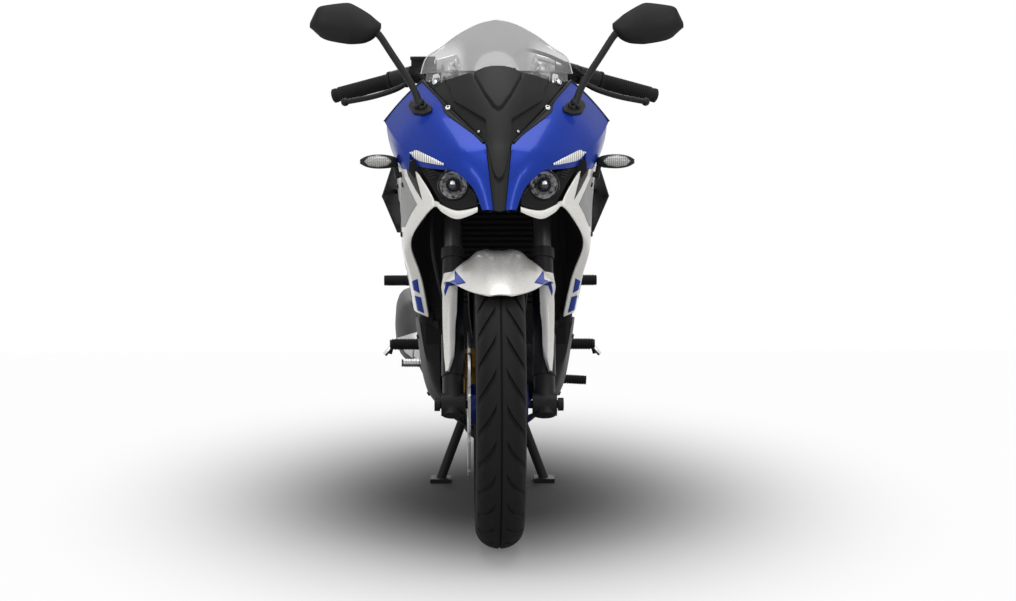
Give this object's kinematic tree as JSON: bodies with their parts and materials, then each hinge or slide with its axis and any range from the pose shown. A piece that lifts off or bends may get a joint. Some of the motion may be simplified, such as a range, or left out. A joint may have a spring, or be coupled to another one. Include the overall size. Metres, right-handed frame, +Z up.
{
  "type": "sport bike",
  "caption": "Fully faired sport motorcycle with steerable fork, turning wheels, folding stands and a hinged fuel cap, standing upright on its centre stand.",
  "frame": {"origin": "on the ground under the middle of the bike's length and width", "axes": "-Y points forward, +X to the bike's left, +Z up"},
  "size_m": [0.786, 1.999, 1.1181],
  "materials": {
    "frame_paint": "satin",
    "engine_metal": "satin",
    "blue_paint": "gloss",
    "pearl_paint": "gloss",
    "black_plastic": "satin",
    "grey_plastic": "satin",
    "seat_cover": "matte",
    "steel": "satin",
    "fork_metal": "satin",
    "caliper_paint": "satin",
    "lamp_glass": "gloss",
    "smoke_screen": "gloss",
    "red_lens": "gloss",
    "rubber": "matte",
    "tyre": "matte",
    "chain_steel": "satin"
  },
  "bodies": {
    "chassis": {"frame": "frame_paint", "engine": "engine_metal", "radiator": "engine_metal", "exhaust": "engine_metal", "swingarm": "frame_paint", "rear_axle": "steel", "monoshock": "steel", "chain": "chain_steel", "rear_caliper": "engine_metal", "rear_hugger": "black_plastic", "tank": "blue_paint", "seats": "seat_cover", "tail_cowl": "blue_paint", "tail_lamp": "red_lens", "plate_holder": "black_plastic", "indicators": "black_plastic", "grab_rails": "frame_paint", "nose_cowl": "blue_paint", "centre_cowl": "black_plastic", "windscreen": "smoke_screen", "lamp_housing": "black_plastic", "headlamps": "lamp_glass", "side_fairing": "pearl_paint", "side_wings": "grey_plastic", "belly_pan": "black_plastic", "mirrors": "black_plastic", "fairing_stay": "frame_paint", "foot_pegs": "steel", "pedals": "steel"},
    "steering": {"yokes": "frame_paint", "fork_tubes": "steel", "fork_legs": "fork_metal", "front_axle": "steel", "front_guard": "pearl_paint", "clip_ons": "steel", "grips": "rubber", "levers": "black_plastic", "front_caliper": "caliper_paint", "hoses": "rubber"},
    "front_wheel": {"front_tyre": "tyre", "front_rim": "blue_paint", "front_disc": "steel"},
    "rear_wheel": {"rear_tyre": "tyre", "rear_rim": "blue_paint", "rear_disc": "steel"},
    "main_stand": {"centre_stand": "frame_paint"},
    "prop_stand": {"side_stand": "frame_paint"},
    "fuel_lid": {"filler_cap": "steel"}
  },
  "joints": [
    {"name": "steer", "type": "hinge", "parent": "chassis", "child": "steering", "pos_m": [0, -0.40337, 0.82536], "axis": [0, 0.4305, 0.9026], "range_deg": [-30, 30]},
    {"name": "front_wheel_spin", "type": "hinge", "parent": "steering", "child": "front_wheel", "pos_m": [0, -0.7035, 0.296], "axis": [1, 0, 0], "continuous": true},
    {"name": "rear_wheel_spin", "type": "hinge", "parent": "chassis", "child": "rear_wheel", "pos_m": [0, 0.6415, 0.319], "axis": [1, 0, 0], "continuous": true},
    {"name": "centre_stand_fold", "type": "hinge", "parent": "chassis", "child": "main_stand", "pos_m": [0, 0.1245, 0.224], "axis": [1, 0, 0], "range_deg": [0, 75]},
    {"name": "side_stand_fold", "type": "hinge", "parent": "chassis", "child": "prop_stand", "pos_m": [0.128, 0.0485, 0.24], "axis": [-0.8195, 0.032, -0.5722], "range_deg": [0, 99.4]},
    {"name": "filler_cap_hinge", "type": "hinge", "parent": "chassis", "child": "fuel_lid", "pos_m": [0, -0.1895, 0.953], "axis": [1, 0, 0], "range_deg": [0, 80]}
  ]
}
